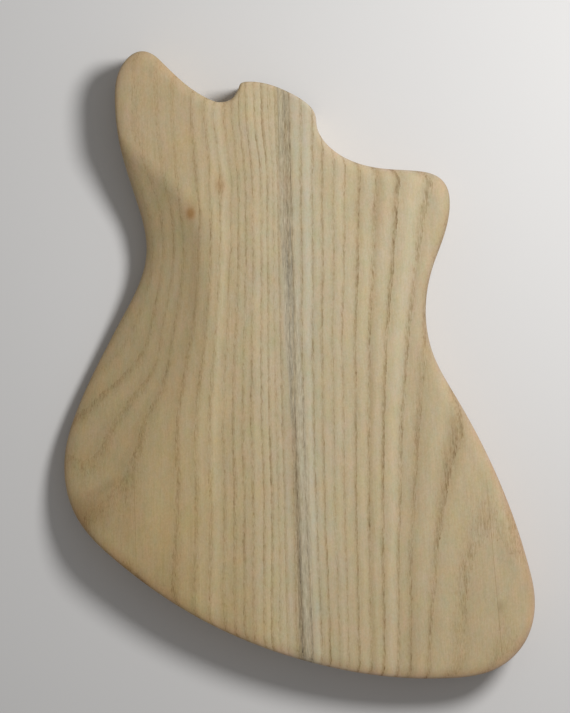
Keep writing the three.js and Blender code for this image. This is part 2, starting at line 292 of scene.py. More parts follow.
class StageSettings(bpy.types.PropertyGroup):
    """Floor, lamps and camera."""

    floor: colour("Floor", "Plain pale floor", (0.66, 0.65, 0.64))
    key_power: number("Key lamp", "Power of the soft key lamp", 10.6, unit="POWER")
    key_size: length("Key lamp size", "Across the key lamp", 0.35)
    sky_strength: number("Sky", "Strength of the pale surroundings", 0.26)
    camera_height: length("Camera height", "Above the body's rim", 2.4)


def smoothstep(value, low, high):
    """Zero up to low, one from high, and 3s^2 - 2s^3 of the share s between them."""
    share = np.clip((value - low) / (high - low), 0, 1)
    return share * share * (3 - 2 * share)


def heel_top(sizes):
    """Height of the heel's top edge, where the neck pocket opens."""
    return HEEL_LEFT[-1][1] * sizes.body_length


def station(row, unit, offset, sizes):
    """A station of the outline: place, heading in radians, and width and depth of the edge rounding."""
    across, along, heading, share = row
    full = np.array([sizes.edge_width, sizes.edge_depth])
    light = np.array([sizes.heel_edge_width, sizes.heel_edge_depth])
    place = np.array([offset + across * unit, along * sizes.body_length])
    return place, math.radians(heading), light + (full - light) * share


def outline_stations(sizes):
    """The stations of the right and of the left board, clockwise seen from the back."""
    heel_width = sizes.pocket_width + 2 * sizes.heel_wall
    body = lambda rows: [station(row, sizes.width, 0, sizes) for row in rows]
    heel = lambda rows: [station(row, heel_width, NECK_AXIS, sizes) for row in rows]
    top, bottom = body([SEAM_TOP, SEAM_BOTTOM])
    right = [top, *heel(HEEL_RIGHT), *body(RIGHT_SIDE), bottom]
    left = [bottom, *body(LEFT_SIDE), *heel(HEEL_LEFT), top]
    return right, left


def stretch(start, end, spacing):
    """One stretch of the outline: places, unit tangents, and widths and depths of the edge rounding.

    It is a cubic Bezier curve from station to station along their headings, with handles of
    chord / (3 cos^2(turn / 4)), which is as near to a circular arc as they allow. The rounding goes from one
    station's to the other's by a smoothstep.
    """
    (a, a_heading, a_edge), (d, d_heading, d_edge) = start, end
    turn = math.atan2(math.sin(d_heading - a_heading), math.cos(d_heading - a_heading))
    chord = float(np.linalg.norm(d - a))
    reach = chord / (3 * math.cos(turn / 4) ** 2)
    b = a + reach * np.array([math.cos(a_heading), math.sin(a_heading)])
    c = d - reach * np.array([math.cos(d_heading), math.sin(d_heading)])
    count = max(2, math.ceil(chord / spacing), math.ceil(abs(math.degrees(turn)) / 3))
    t = (np.arange(count) / count)[:, None]
    place = (1 - t) ** 3 * a + 3 * t * (1 - t) ** 2 * b + 3 * t**2 * (1 - t) * c + t**3 * d
    slope = 3 * (1 - t) ** 2 * (b - a) + 6 * t * (1 - t) * (c - b) + 3 * t**2 * (d - c)
    tangent = slope / np.linalg.norm(slope, axis=1, keepdims=True)
    edge = a_edge + (d_edge - a_edge) * smoothstep(t, 0, 1)
    return place, tangent, edge


def outline(stations, spacing):
    """Places, tangents, edge roundings and distances along the whole outline of a board, seam to seam."""
    parts = [stretch(start, end, spacing) for start, end in zip(stations, stations[1:])]
    last_place, last_heading, last_edge = stations[-1]
    last_tangent = np.array([[math.cos(last_heading), math.sin(last_heading)]])
    place = np.concatenate([part[0] for part in parts] + [last_place[None]])
    tangent = np.concatenate([part[1] for part in parts] + [last_tangent])
    edge = np.concatenate([part[2] for part in parts] + [[last_edge]])
    place[[0, -1], 0] = 0
    steps = np.linalg.norm(np.diff(place, axis=0), axis=1)
    return place, tangent, edge, np.concatenate([[0], np.cumsum(steps)])


def edge_directions(tangent, along):
    """Where the edge's profile points, in the plane: square to the outline, but turned into the seam's plane
    near each of its ends, by a slide along the tangent."""
    fade = lambda distance: 1 - smoothstep(distance, 0, SEAM_TURN)
    lean = lambda end: -tangent[end, 1] / tangent[end, 0]
    slide = lean(0) * fade(along) + lean(-1) * fade(along[-1] - along)
    square = np.stack([tangent[:, 1], -tangent[:, 0]], axis=1)
    return square + tangent * slide[:, None]


def nearer_edge(a, b, corner):
    """Nearer of two edges of the belly cut, each a distance inside it, a blend and a slope, with a rounded
    change from one to the other."""
    share = np.clip(0.5 + (b[0] - a[0]) / (2 * corner), 0, 1)
    mixed = [second + (first - second) * share for first, second in zip(a, b)]
    return mixed[0] - corner * share * (1 - share), mixed[1], mixed[2]


def belly_depth(x, y, sizes):
    """Depth of the belly cut under the back.

    The cut lies between an inner edge along the body and two slanting ones. The depth is the tangent of the
    nearest edge's slope times a soft ramp, zero, then a parabola, then straight, of the distance inside it.
    """
    across = x + sizes.belly_inset
    above = across * math.sin(UPPER_SLANT) - (y - UPPER_PLACE) * math.cos(UPPER_SLANT)
    below = y * math.cos(LOWER_SLANT) - across * math.sin(LOWER_SLANT)
    inner_edge = (-across, INNER_BLEND, sizes.belly_slope)
    side = nearer_edge(inner_edge, (below, LOWER_BLEND, LOWER_SLOPE), sizes.belly_corner)
    inside, blend, slope = nearer_edge((above, UPPER_BLEND, UPPER_SLOPE), side, sizes.belly_corner)
    soft = np.clip(inside + blend, 0, None) ** 2 / (4 * blend)
    return np.tan(slope) * np.where(inside >= blend, inside, soft)


def seam_share(share, rising):
    """Share of the seam at which a cross-section starts: the outline's share s, measured upwards, less
    s^3 (1 - s) times a number, so that no cross-section runs along the edge of a horn."""
    up = share if rising else 1 - share
    drawn = up - SEAM_DRAW * up**3 * (1 - up)
    return drawn if rising else 1 - drawn


def board_surface(stations, sizes):
    """Points of a board's blank as a grid of outline samples by cross-section points.

    Each section runs out from the seam over the back, round a quarter ellipse of the edge's width and depth,
    down the side, round the face's edge and back to the seam over the face.
    """
    place, tangent, edge, along = outline(stations, sizes.surface_spacing)
    width, depth = edge[:, :1], edge[:, 1:]
    direction = edge_directions(tangent, along)
    inner = place + direction * width
    share = seam_share(along / along[-1], inner[-1, 1] > inner[0, 1])[:, None]
    seam = inner[0] * (1 - share) + inner[-1] * share
    seam[:, 0] = 0
    field = np.linspace(0, 1, BACK_POINTS)[None, :, None]
    over_back = seam[:, None] * (1 - field) + inner[:, None] * field
    turn = np.linspace(0, math.pi / 2, EDGE_POINTS)[1:]
    round_place = place[:, None] + direction[:, None] * (width * (1 - np.sin(turn)))[..., None]
    drop = depth * (1 - np.cos(turn))
    back_place = np.concatenate([over_back, round_place], axis=1)
    back_drop = np.concatenate([np.zeros(over_back.shape[:2]), drop], axis=1)
    back_height = sizes.thickness - back_drop - belly_depth(back_place[..., 0], back_place[..., 1], sizes)
    down = np.linspace(0, 1, SIDE_POINTS)[None, 1:-1]
    side_height = back_height[:, -1:] * (1 - down) + depth * down
    side_place = np.repeat(place[:, None], side_height.shape[1], axis=1)
    face_field = np.linspace(1, 0, FACE_POINTS)[None, :, None]
    over_face = seam[:, None] * (1 - face_field) + inner[:, None] * face_field
    places = np.concatenate([back_place, side_place, round_place[:, ::-1], over_face], axis=1)
    heights = np.concatenate(
        [back_height, side_height, drop[:, ::-1], np.zeros(over_face.shape[:2])], axis=1
    )
    places[[0, -1], :, 0] = 0
    return np.concatenate([places, heights[..., None]], axis=2)


def closed_mesh(name, grid):
    """A closed mesh from a grid of points: rows are open and end in caps, columns close on themselves."""
    rows, columns = grid.shape[:2]
    here = np.arange(rows * columns).reshape(rows, columns)
    after = np.roll(here, -1, axis=1)
    faces = np.stack([here[:-1], here[1:], after[1:], after[:-1]], axis=-1).reshape(-1, 4).tolist()
    faces.append(here[0].tolist())
    faces.append(here[-1, ::-1].tolist())
    mesh = bpy.data.meshes.new(name)
    mesh.from_pydata(grid.reshape(-1, 3), [], faces)
    work = bmesh.new()
    work.from_mesh(mesh)
    bmesh.ops.remove_doubles(work, verts=work.verts, dist=SAME_POINT)
    bmesh.ops.dissolve_degenerate(work, edges=work.edges, dist=NO_EDGE)
    work.to_mesh(mesh)
    work.free()
    return mesh


def rounded_rectangle(width, span, radius):
    """Points round a rectangle about the origin, long side along Y, whose corners are quarter circles."""
    quarter = np.linspace(0, math.pi / 2, CORNER_POINTS)
    x, y = width / 2 - radius, span / 2 - radius
    centres = np.array([[x, y], [-x, y], [-x, -y], [x, -y]])
    angles = quarter[None] + np.arange(4)[:, None] * math.pi / 2
    corner = np.stack([np.cos(angles), np.sin(angles)], axis=-1) * radius
    return (centres[:, None] + corner).reshape(-1, 2)


def rounded_slot(width, span):
    """Points round a slot about the origin, long side along Y, with round ends."""
    return rounded_rectangle(width, span, width / 2 - END_STRAIGHT)


def route(name, shape, depth, centre, turn=0.0):
    """A cutter for a route in the face: a shape turned and moved into place, from below the face up to the
    depth."""
    cos, sin = math.cos(turn), math.sin(turn)
    placed = shape @ np.array([[cos, sin], [-sin, cos]]) + np.array(centre)
    levels = [np.insert(placed, 2, level, axis=1) for level in (CUTTER_START, depth)]
    mesh = closed_mesh(name, np.array(levels[::-1]))
    cutter = bpy.data.objects.new(name, mesh)
    bpy.context.scene.collection.objects.link(cutter)
    return cutter


def channel(name, start, end, depth):
    """A cutter for a wire channel with round ends, from one place to the other."""
    start, end = np.array(start), np.array(end)
    reach = float(np.linalg.norm(end - start)) + CHANNEL_WIDTH
    turn = math.atan2(end[1] - start[1], end[0] - start[0]) - math.pi / 2
    return route(name, rounded_slot(CHANNEL_WIDTH, reach), depth, (start + end) / 2, turn)


def face_routes(sizes):
    """Cutters for the neck pocket, both pickup routes, the control route and the wire channels."""
    pocket_end = heel_top(sizes) - sizes.pocket_length
    open_length = sizes.pocket_length + POCKET_OVERRUN
    pocket_place = (NECK_AXIS, pocket_end + open_length / 2)
    neck_pickup = (NECK_AXIS, pocket_end - PICKUP_GAP - PICKUP_WIDTH / 2)
    bridge_pickup = (NECK_AXIS, pocket_end - BRIDGE_DISTANCE + BRIDGE_TO_PICKUP)
    pickup = rounded_rectangle(PICKUP_SPAN, PICKUP_WIDTH, PICKUP_CORNER)
    pocket = rounded_rectangle(sizes.pocket_width, open_length, POCKET_CORNER)
    control = rounded_slot(CONTROL_WIDTH, CONTROL_SPAN)
    return [
        route("pocket_cutter", pocket, sizes.pocket_depth, pocket_place),
        route("neck_pickup_cutter", pickup, sizes.pickup_depth, neck_pickup),
        route("bridge_pickup_cutter", pickup, sizes.pickup_depth, bridge_pickup),
        route("control_cutter", control, sizes.control_depth, CONTROL_PLACE, CONTROL_TURN + math.pi / 2),
        channel("pickup_channel_cutter", neck_pickup, bridge_pickup, sizes.pickup_depth),
        channel("control_channel_cutter", bridge_pickup, CONTROL_PLACE, sizes.pickup_depth),
    ]


def cut_routes(board, sizes):
    """Cuts the routes out of a board's blank."""
    cutters = face_routes(sizes)
    for cutter in cutters:
        cut = board.modifiers.new(cutter.name, "BOOLEAN")
        cut.operation, cut.solver, cut.object = "DIFFERENCE", "MANIFOLD", cutter
    graph = bpy.context.evaluated_depsgraph_get()
    mesh = bpy.data.meshes.new_from_object(board.evaluated_get(graph))
    board.modifiers.clear()
    old = board.data
    board.data = mesh
    bpy.data.meshes.remove(old)
    for cutter in cutters:
        cutter_mesh = cutter.data
        bpy.data.objects.remove(cutter)
        bpy.data.meshes.remove(cutter_mesh)
    if len(mesh.polygons) < FEWEST_FACES:
        raise RuntimeError(f"{board.name} was lost when its routes were cut")


def away_from(places, points):
    """Distance of points from the nearest of the outline's places, in the plane."""
    away = np.empty(len(points))
    for start in range(0, len(points), BATCH):
        gap = points[start:start + BATCH, None] - places[None]
        away[start:start + BATCH] = np.sqrt((gap**2).sum(-1).min(1))
    return away


def mark_routes(mesh, places):
    """Writes the attribute 'routed': one on the faces of the routes and zero elsewhere.

    A route's floor faces down above the face, and its wall is upright and away from both the outline and
    the seam.
    """
    count = len(mesh.polygons)
    centre = np.empty(count * 3)
    normal = np.empty(count * 3)
    mesh.polygons.foreach_get("center", centre)
    mesh.polygons.foreach_get("normal", normal)
    centre, normal = centre.reshape(-1, 3), normal.reshape(-1, 3)
    floor = (normal[:, 2] < LEAN - 1) & (centre[:, 2] > FACE_CLEAR)
    upright = (np.abs(normal[:, 2]) < LEAN) & (np.abs(centre[:, 0]) > SEAM_CLEAR)
    away = np.full(count, 1.0)
    away[upright] = away_from(places, centre[upright, :2])
    routed = floor | (upright & (away > OUTLINE_CLEAR))
    attribute = mesh.attributes.new("routed", "FLOAT", "FACE")
    attribute.data.foreach_set("value", routed.astype(np.float32))


def mark_wood(mesh, places, sizes):
    """Writes two attributes in millimetres: 'ring_lift', how far the growth rings rise under the belly cut,
    and 'rim', the distance from the outline. The lift is a share of the cut's depth, which changes along
    the body."""
    place = np.empty(len(mesh.vertices) * 3)
    mesh.vertices.foreach_get("co", place)
    place = place.reshape(-1, 3)
    x, y = place[:, 0], place[:, 1]
    share = np.interp(y, RISE_PLACES, RISE_SHARES)
    lift = share * belly_depth(x, y, sizes)
    for name, values in (("ring_lift", lift), ("rim", away_from(places[::2], place[:, :2]))):
        attribute = mesh.attributes.new(name, "FLOAT", "POINT")
        attribute.data.foreach_set("value", (values / MM).astype(np.float32))


class WoodNodes:
    """Short calls that add nodes to a material: each takes sockets or plain numbers and gives a socket."""

    def __init__(self, material):
        material.use_nodes = True
        self.tree = material.node_tree
        self.tree.nodes.clear()

    def add(self, kind, sockets, output=0, **settings):
        """A shader node of a kind, with its settings and inputs; the inputs go by name or number."""
        node = self.tree.nodes.new("ShaderNode" + kind)
        for name, value in settings.items():
            setattr(node, name, value)
        for name, value in sockets.items():
            if isinstance(value, bpy.types.NodeSocket):
                self.tree.links.new(value, node.inputs[name])
            else:
                node.inputs[name].default_value = value
        return node.outputs[output] if node.outputs else None

    def math(self, operation, *values, clamp=False):
        """A Math node."""
        return self.add("Math", dict(enumerate(values)), operation=operation, use_clamp=clamp)

    def plus(self, a, b):
        return self.math("ADD", a, b)

    def minus(self, a, b):
        return self.math("SUBTRACT", a, b)

    def times(self, a, b):
        return self.math("MULTIPLY", a, b)

    def linear(self, a, b, c):
        """a times b, plus c."""
        return self.math("MULTIPLY_ADD", a, b, c)

    def multiply(self, vector, factors):
        """A vector times another, channel by channel."""
        return self.add("VectorMath", {0: vector, 1: factors}, operation="MULTIPLY")

    def scale(self, vector, factor):
        """A vector times a value."""
        return self.add("VectorMath", {0: vector, "Scale": factor}, operation="SCALE")

    def attribute(self, name):
        """A value that the mesh carries."""
        return self.add("Attribute", {}, "Fac", attribute_name=name)

    def combine(self, x, y, z):
        """A vector from three values."""
        return self.add("CombineXYZ", {0: x, 1: y, 2: z})

    def separate(self, vector):
        """Three values from a vector."""
        return tuple(self.add("SeparateXYZ", {0: vector}).node.outputs)

    def remap(self, value, low, high, start=0, end=1, smooth=True):
        """Goes from start at low to end at high and stays there; low may lie above high."""
        kind = "SMOOTHSTEP" if smooth else "LINEAR"
        values = {0: value, 1: low, 2: high, 3: start, 4: end}
        return self.add("MapRange", values, interpolation_type=kind, clamp=True)

    def blend(self, factor, a, b):
        """Goes from value a to value b."""
        return self.add("Mix", {0: factor, 2: a, 3: b}, 0, data_type="FLOAT", clamp_factor=True)

    def blend_colour(self, factor, a, b, kind="MIX"):
        """Goes from colour a to colour b."""
        values = {0: factor, 6: a, 7: b}
        return self.add("Mix", values, 2, data_type="RGBA", blend_type=kind, clamp_factor=True)

    def noise(self, vector, detail, roughness, output=0):
        """A Noise Texture."""
        values = {"Vector": vector, "Scale": 1, "Detail": detail, "Roughness": roughness}
        return self.add("TexNoise", values, output)

    def curve(self, value, points):
        """Straight lines through points, flat past the first and the last."""
        low, high = points[0][0], points[-1][0]
        start, end = min(y for _, y in points), max(y for _, y in points)
        share = self.remap(value, low, high, smooth=False)
        out = self.add("FloatCurve", {"Factor": 1, "Value": share})
        mapping = out.node.mapping
        line = mapping.curves[0]
        shares = [((x - low) / (high - low), (y - start) / (end - start)) for x, y in points]
        while len(line.points) < len(shares):
            line.points.new(0.5, 0.5)
        for point, (x, y) in zip(line.points, shares):
            point.location = (x, y)
            point.handle_type = "VECTOR"
        mapping.update()
        return self.remap(out, 0, 1, start, end, smooth=False)

    def steps(self, value, colours):
        """A ramp of constant colours, each an equal share wide; gives its colour and its alpha."""
        out = self.add("ValToRGB", {0: value})
        ramp = out.node.color_ramp
        ramp.interpolation = "CONSTANT"
        while len(ramp.elements) < len(colours):
            ramp.elements.new(0.5)
        for k, element in enumerate(ramp.elements):
            element.position = k / len(colours)
        for element, value in zip(ramp.elements, colours):
            element.color = value
        return tuple(out.node.outputs)


def ring_pattern(wood, radius, rings):
    """Counts rings along a radius and gives each its pore line, early wood and late wood.

    The radius is turned into a ring count by straight lines through the ring starts. Its whole part picks
    the ring's row, and its fraction, times the ring's width, is the distance from the ring's start.
    """
    starts = [row[0] for row in rings]
    count = len(rings)
    widths = [b - a for a, b in zip(starts, starts[1:])]
    widths.append(widths[-1])
    low, high = starts[0], starts[-1]
    counted = wood.curve(radius, [(start, k) for k, start in enumerate(starts)])
    inner = wood.math("DIVIDE", wood.math("MINIMUM", wood.minus(radius, low), 0), widths[0])
    outer = wood.math("DIVIDE", wood.math("MAXIMUM", wood.minus(radius, high), 0), widths[-1])
    total = wood.plus(counted, wood.plus(inner, outer))
    phase = wood.minus(total, wood.math("FLOOR", total))
    pick = wood.math("DIVIDE", wood.plus(wood.math("FLOOR", total), 0.5), count, clamp=True)
    encode = lambda value: (value - TONE_LOW) / TONE_SPAN
    rows = [
        (encode(line), encode(early), encode(late), width / WIDTH_SPAN)
        for (_, line, early, late), width in zip(rings, widths)
    ]
    colour_out, width_out = wood.steps(pick, rows)
    sockets = {0: colour_out, 1: (TONE_SPAN,) * 3, 2: (TONE_LOW,) * 3}
    line, early, late = wood.separate(wood.add("VectorMath", sockets, operation="MULTIPLY_ADD"))
    width = wood.times(width_out, WIDTH_SPAN)
    distance = wood.times(phase, width)
    clear = wood.blend(wood.remap(phase, 0.35, 1), early, late)
    clear = wood.minus(clear, wood.remap(wood.minus(width, distance), 0.2, 2.4, 0.045, 0))
    return line, clear, distance


def stretched(wood, vector, across, along, detail, roughness):
    """Noise about zero, with a frequency across the grain and another along it, in turns per millimetre."""
    return wood.minus(wood.noise(wood.multiply(vector, (across, along, across)), detail, roughness), 0.5)


def noises(wood, vector, rows):
    """The sum of stretched noises, each times its strength."""
    total = 0
    for strength, *settings in rows:
        total = wood.linear(stretched(wood, vector, *settings), strength, total)
    return total


def grain(wood, place, radius, sweep, rings, marks):
    """Brightness of the grain, the red share of its lines, and its fibres and pores."""
    line, clear, distance = ring_pattern(wood, radius, rings)
    distance = wood.times(distance, wood.remap(radius, 124, 100, 1, marks["narrow"]))
    along_grain = wood.combine(radius, wood.separate(place)[1], sweep)
    dash = wood.remap(stretched(wood, place, *DASHES), -0.16, 0.14)
    pore = wood.remap(stretched(wood, place, *PORES), 0, 0.17)
    fibre = stretched(wood, along_grain, *FIBRES)
    core = wood.times(wood.remap(distance, 2.2, 0.4), wood.linear(dash, 0.86, 0.2))
    halo = wood.times(wood.remap(distance, 4.2, 1), 0.32)
    waxing = wood.linear(stretched(wood, along_grain, *WAXING), 1.6, 1)
    band = wood.times(wood.times(wood.plus(core, halo), waxing), wood.minus(1, marks["haze"]))
    clear = wood.blend(marks["haze"], clear, 1)
    tone = wood.linear(band, wood.minus(line, clear), clear)
    near_line = wood.remap(distance, 3.2, 0.4)
    pores = wood.times(pore, wood.linear(near_line, 0.13, 0.045))
    tone = wood.plus(wood.minus(tone, pores), wood.times(fibre, 0.17))
    red_share = wood.times(wood.times(near_line, marks["reddish"]), wood.plus(dash, 0.3))
    return wood.plus(tone, noises(wood, place, TINTS)), red_share, fibre, pores


def ash_colour(wood, place, shade, rim, yellow, ash):
    """The ash's colour: warmer or cooler from place to place, with painted warm bounce light in the shade on
    the left, pinker along the rim, partly from the wood and partly as painted warm bounce light, paler there
    as a painted highlight on the lit right, and redder where it is darker, because each channel takes its
    own power of the brightness."""
    x, y, _ = wood.separate(place)
    along = wood.remap(y, 60, -225, -0.05, 0.65, smooth=False)
    # Warmth across the back, partly painted warm bounce light on the shaded left, and warmer towards the
    # bottom.
    warmth = wood.plus(wood.curve(x, SIDE_WARMTH_AND_BOUNCE), along)
    # Pinker within 9 mm of the outline, more so towards the bottom: partly the wood's own warmer rim, partly
    # painted warm bounce light where the rim lies in shade.
    rim_and_bounce_pink = wood.times(wood.remap(rim, 9, 2.5), wood.remap(y, 60, -160, 0.03, 0.085))
    # Painted highlight: more blue, so paler and whiter, within 3.5 mm of the outline, strongest on the lit
    # right side.
    painted_rim_highlight = wood.times(wood.remap(rim, 3.5, 0.5), wood.remap(x, -60, 80, 0.02, 0.14))
    patches = wood.noise(wood.multiply(place, (0.09, 0.045, 0.09)), 5, 0.8, 1)
    red_patch, blue_patch, _ = wood.separate(patches)
    red = wood.linear(warmth, 0.055, wood.linear(red_patch, 0.46, 0.77))
    red = wood.times(wood.times(wood.math("POWER", shade, 0.8), ash[0]), wood.plus(red, rim_and_bounce_pink))
    blue = wood.linear(warmth, yellow, wood.linear(blue_patch, 0.5, 0.75))
    blue = wood.times(wood.times(wood.math("POWER", shade, 1.31), ash[2]), wood.plus(blue, painted_rim_highlight))
    return wood.add("CombineColor", {0: red, 1: wood.times(shade, ash[1]), 2: blue})


def board_wood(name, radius_of, rings, marks_of, colours):
    """A procedural bare-ash material for one board.

    radius_of gives the growth-ring radius from the place, rings its rows, and marks_of the board's marks:
    how much darker, greyer, hazier and more like a knot each place is, with painted shade among the darker
    and redder places, and how red, narrow and yellow its lines and its wood are. The rims on the lit right
    get painted shade.
    """
    material = bpy.data.materials.new(name)
    wood = WoodNodes(material)
    place = wood.scale(wood.add("TexCoord", {}, "Object"), 1 / MM)
    x, y, z = wood.separate(place)
    radius, sweep = radius_of(wood, x, y, z)
    radius = wood.plus(radius, noises(wood, place, RING_WANDER))
    marks = marks_of(wood, x, y, z, place)
    tone, red_share, fibre, pores = grain(wood, place, radius, sweep, rings, marks)
    rim = wood.attribute("rim")
    # Painted shade: the rims on the right, which face the lamp, are darkened by up to a tenth within 9 mm of
    # the outline.
    painted_rim_shade = wood.times(wood.remap(rim, 0.5, 9, 0.1, 0), wood.remap(x, 20, 110))
    tone = wood.minus(tone, wood.plus(marks["dark"], painted_rim_shade))
    shade = wood.times(tone, wood.curve(x, SIDE_LIGHT))
    mixed = ash_colour(wood, place, shade, rim, marks["yellow"], colours.ash)
    mixed = wood.blend_colour(marks["grey"], mixed, wood.scale(tuple(colours.heart_streak), shade))
    knot_share = wood.plus(marks["knot"], red_share)
    mixed = wood.blend_colour(knot_share, mixed, wood.scale(tuple(colours.knot), shade))

    routed = wood.attribute("routed")
    mixed = wood.blend_colour(wood.times(routed, 0.35), mixed, (*colours.routed, 1))
    rough = wood.plus(colours.roughness, wood.plus(wood.times(fibre, 0.16), wood.times(pores, 0.9)))
    rough = wood.plus(rough, wood.times(routed, 0.12))
    height = wood.minus(wood.times(fibre, 0.25), wood.times(pores, 6))
    bump = wood.add("Bump", {"Strength": 0.22, "Distance": 0.3 * MM, "Height": height}, "Normal")
    sockets = {"Base Color": mixed, "Roughness": rough, "Specular IOR Level": 0.28, "Normal": bump}
    wood.add("OutputMaterial", {"Surface": wood.add("BsdfPrincipled", sockets)})
    return material


def spot(wood, x, y, centre_x, centre_y, across, along):
    """One at a place on the back, fading to zero over a distance across and another along the body."""
    off = wood.math("DIVIDE", wood.minus(x, centre_x), across)
    up = wood.math("DIVIDE", wood.minus(y, centre_y), along)
    away = wood.math("SQRT", wood.plus(wood.times(off, off), wood.times(up, up)))
    return wood.remap(away, 1, 0)


def spots(wood, x, y, *rows):
    """The sum of spots, each times its strength."""
    total = 0
    for *row, strength in rows:
        total = wood.linear(spot(wood, x, y, *row), strength, total)
    return total


def swirl(wood, x, y, centre, strength):
    """How far the grain is pushed aside by a knot: away from its centre, and less with the distance."""
    return wood.times(wood.times(wood.minus(x, centre[0]), strength), spot(wood, x, y, *centre, *SWIRL))


def ring_radius(wood, x, y, z, pith):
    """Distance from a pith line, and the sweep round it in millimetres."""
    pith_place, lean, depth, fall = pith
    across = wood.minus(x, wood.linear(y, lean, pith_place))
    above = wood.linear(y, fall, wood.plus(z, depth))
    radius = wood.math("SQRT", wood.plus(wood.times(across, across), wood.times(above, above)))
    return radius, wood.times(wood.math("ARCTAN2", across, above), 120)


def right_radius(wood, x, y, z):
    """Growth-ring radius of the right board: the distance from a pith line that leans across and down, with
    the grain's own wander up by the horn, beside the arch and at its foot."""
    upper = wood.times(wood.remap(y, 15, 75), wood.remap(x, 82, 106, 1.3, -0.9))
    x = wood.minus(x, wood.plus(upper, spots(wood, x, y, *RIGHT_SHIFTS)))
    radius, sweep = ring_radius(wood, x, y, z, RIGHT_PITH)
    return wood.plus(radius, spots(wood, x, y, *RIGHT_SWELLS)), sweep


def left_radius(wood, x, y, z):
    """Growth-ring radius of the left board: the distance from a level pith line, the swirl round the two pin
    knots, swells and hollows, and a drift along the board that grows towards the pith."""
    aside = wood.plus(swirl(wood, x, y, LOWER_KNOT, 0.55), swirl(wood, x, y, UPPER_KNOT, 0.6))
    x = wood.minus(x, wood.plus(aside, spots(wood, x, y, *LEFT_SHIFTS)))
    radius, sweep = ring_radius(wood, x, y, wood.plus(z, wood.attribute("ring_lift")), LEFT_PITH)
    radius = wood.plus(radius, spots(wood, x, y, *LEFT_SWELLS))
    nearness = wood.math("POWER", wood.remap(radius, 165.9, 85.9, 0, 1.15, smooth=False), 1.3)
    lower = wood.plus(wood.remap(y, 150, -62, 0, 14.4), wood.remap(y, -90, -210, 0, 2.05))
    upper = wood.remap(y, 147, 200, 0, 2.6)
    near_seam = wood.remap(radius, 164.3, 148.5)
    leaning = wood.linear(x, -0.8, y)
    foot = spots(wood, x, y, (-23, -205, 11, 90, 1))
    corner = spots(wood, x, leaning, (-152, -20, 42, 80, 5.4))
    drift = wood.plus(wood.times(lower, nearness), wood.times(upper, near_seam))
    drift = wood.plus(drift, wood.plus(foot, corner))
    return wood.plus(radius, drift), sweep


def hairline(wood, x, y, z, at, lean, top, bottom, strength):
    """A drying check in the back: a hairline along the board between two heights."""
    off = wood.math("ABSOLUTE", wood.minus(x, wood.linear(y, lean, at)))
    line = wood.times(wood.remap(off, 0.5, 0), wood.remap(z, 20, 26))
    window = wood.times(wood.remap(y, top, top - 14), wood.remap(y, bottom, bottom + 14))
    return wood.times(wood.times(line, window), strength)


def streak(wood, x, y, place, points):
    """The mineral streak on one side of the seam: its darkness and the share of its grey wash.

    Straight lines through the points say how both change along the body. Flecks and threads break them up.
    """
    edge, share, body, reach, depth = (wood.curve(y, row) for row in points)
    flecks = stretched(wood, place, *FLECKS)
    flecked = lambda value, strength: wood.times(value, wood.linear(flecks, strength, 1))
    far = wood.math("ABSOLUTE", wood.plus(x, noises(wood, place, STREAK_WANDER)))
    core = wood.remap(wood.math("DIVIDE", far, reach), 1.2, 0.25)
    inside = wood.remap(wood.minus(edge, far), -0.9, 1.1)
    washed = wood.times(inside, flecked(share, 3.2))
    wash = wood.math("MAXIMUM", washed, wood.times(core, 0.4), clamp=True)
    glue = wood.times(wood.remap(wood.math("ABSOLUTE", x), 0.2, 1.2, 0.07, 0), wood.remap(y, -60, 40))
    threads = wood.times(wood.math("MAXIMUM", inside, core), stretched(wood, place, *THREADS))
    dark = wood.plus(wood.times(core, flecked(depth, 2.4)), wood.times(inside, flecked(body, 4)))
    return wood.plus(dark, wood.plus(glue, threads)), wash


def left_marks(wood, x, y, z, place):
    """Marks of the left board: its side of the streak with a border line, a drying check, two pin knots, a
    smear, painted shade over the lower left, darkest and reddest by its rim, a rusty band, and the haze that
    softens the rings on the horn, in the belly cut and in the lower left."""
    core, wash = streak(wood, x, y, place, LEFT_STREAK)
    off = wood.math("ABSOLUTE", wood.plus(x, 8.4))
    border = wood.times(wood.remap(off, 1.1, 0.2), wood.remap(y, 120, 165, 0, 0.15))
    check = hairline(wood, x, y, z, -128.5, 0, -78, -162, 0.14)
    leaning = wood.linear(x, -0.45, y)
    smear = spots(wood, x, leaning, (-152, -25, 30, 7, 0.1))
    shadows = wood.plus(smear, spots(wood, x, y, *LEFT_DUSK))
    horn = wood.times(wood.remap(x, -70, -90, 0, 0.74), wood.remap(y, 105, 150))
    belly = wood.times(wood.remap(x, -60, -80, 0, 0.28), wood.remap(y, -20, 20))
    corner = spots(wood, x, y, (-152, -120, 36, 60, 0.7))
    bout = spots(wood, x, y, (-98, -150, 26, 90, 0.4))
    haze = wood.math("MAXIMUM", wood.math("MAXIMUM", horn, belly), wood.math("MAXIMUM", corner, bout))
    return {
        "dark": wood.plus(wood.plus(core, border), wood.plus(check, shadows)),
        "grey": wash,
        "knot": spots(wood, x, y, *LEFT_REDS),
        "haze": haze,
        "reddish": wood.times(wood.remap(x, -50, -75, 0, 0.08), wood.remap(y, 60, 140)),
        "narrow": 0.9,
        # Warmth takes less blue on the horn, so the painted warm bounce light of the belly cut fades out
        # there.
        "yellow": wood.remap(y, 140, 190, -0.13, -0.05),
    }


def right_marks(wood, x, y, z, place):
    """Marks of the right board: its side of the streak, a drying check over the pith, a pin mark and a dark
    band that leans."""
    core, wash = streak(wood, x, y, place, RIGHT_STREAK)
    check = hairline(wood, x, y, z, 142.6, -0.0665, -86, -240, 0.24)
    leaning = wood.linear(y, -0.2, x)
    band = spots(wood, leaning, y, (136, -70, 14, 52, 0.14))
    shadows = wood.plus(band, spots(wood, x, y, *RIGHT_DUSK))
    return {
        "dark": wood.plus(core, wood.plus(check, shadows)),
        "grey": wash,
        "knot": 0,
        "haze": 0,
        "reddish": 0.03,
        "narrow": 0.7,
        "yellow": -0.09,
    }


